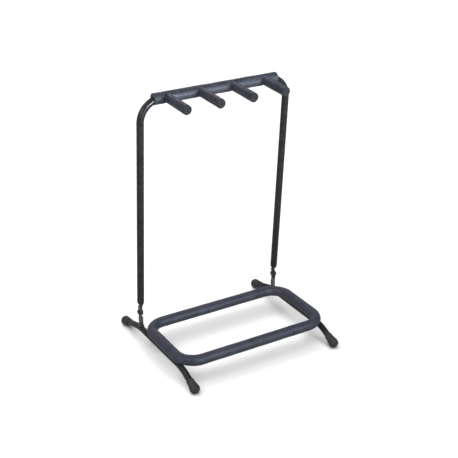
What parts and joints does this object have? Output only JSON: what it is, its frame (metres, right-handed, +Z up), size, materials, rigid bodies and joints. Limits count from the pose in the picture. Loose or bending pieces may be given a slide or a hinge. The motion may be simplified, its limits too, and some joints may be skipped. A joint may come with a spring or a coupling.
{
  "type": "guitar rack",
  "caption": "Folding tubular floor rack that stands guitars side by side, with a padded base loop and a padded, pegged neck bar.",
  "frame": {"origin": "on the floor, under the centre of the rack's bounding box at rest", "axes": "+Z up, -Y to the front where the pegs point and the guitars stand, +X to the right of someone behind the rack, along the hinge axis"},
  "size_m": [0.4338, 0.3988, 0.6745],
  "materials": {
    "frame_steel": "satin",
    "foam": "matte",
    "rubber": "matte",
    "hardware": "satin",
    "plastic": "matte"
  },
  "bodies": {
    "base": {"base_loop_foam": "foam", "base_loop_tube": "frame_steel", "foot_cap_front_left": "rubber", "foot_cap_front_right": "rubber", "foot_cap_rear_left": "rubber", "foot_cap_rear_right": "rubber", "foot_tube_left": "frame_steel", "foot_tube_right": "frame_steel", "hinge_bolt_left": "hardware", "hinge_bolt_right": "hardware", "hinge_nut_left": "hardware", "hinge_nut_right": "hardware", "hinge_post_left": "frame_steel", "hinge_post_right": "frame_steel", "hinge_spacer_left": "plastic", "hinge_spacer_right": "plastic", "loop_welds": "frame_steel", "nut_washer_left": "hardware", "nut_washer_right": "hardware"},
    "neck_frame": {"hinge_lug_left": "frame_steel", "hinge_lug_right": "frame_steel", "neck_bar_foam": "foam", "neck_frame_tube": "frame_steel", "peg_end_plug_1": "plastic", "peg_end_plug_2": "plastic", "peg_end_plug_3": "plastic", "peg_end_plug_4": "plastic", "peg_foam_1": "foam", "peg_foam_2": "foam", "peg_foam_3": "foam", "peg_foam_4": "foam", "peg_rod_1": "frame_steel", "peg_rod_2": "frame_steel", "peg_rod_3": "frame_steel", "peg_rod_4": "frame_steel"}
  },
  "joints": [
    {"name": "frame_fold", "type": "hinge", "parent": "base", "child": "neck_frame", "pos_m": [0, 0.0972, 0.0843], "axis": [1, 0, 0], "range_deg": [0, 83.7]}
  ]
}
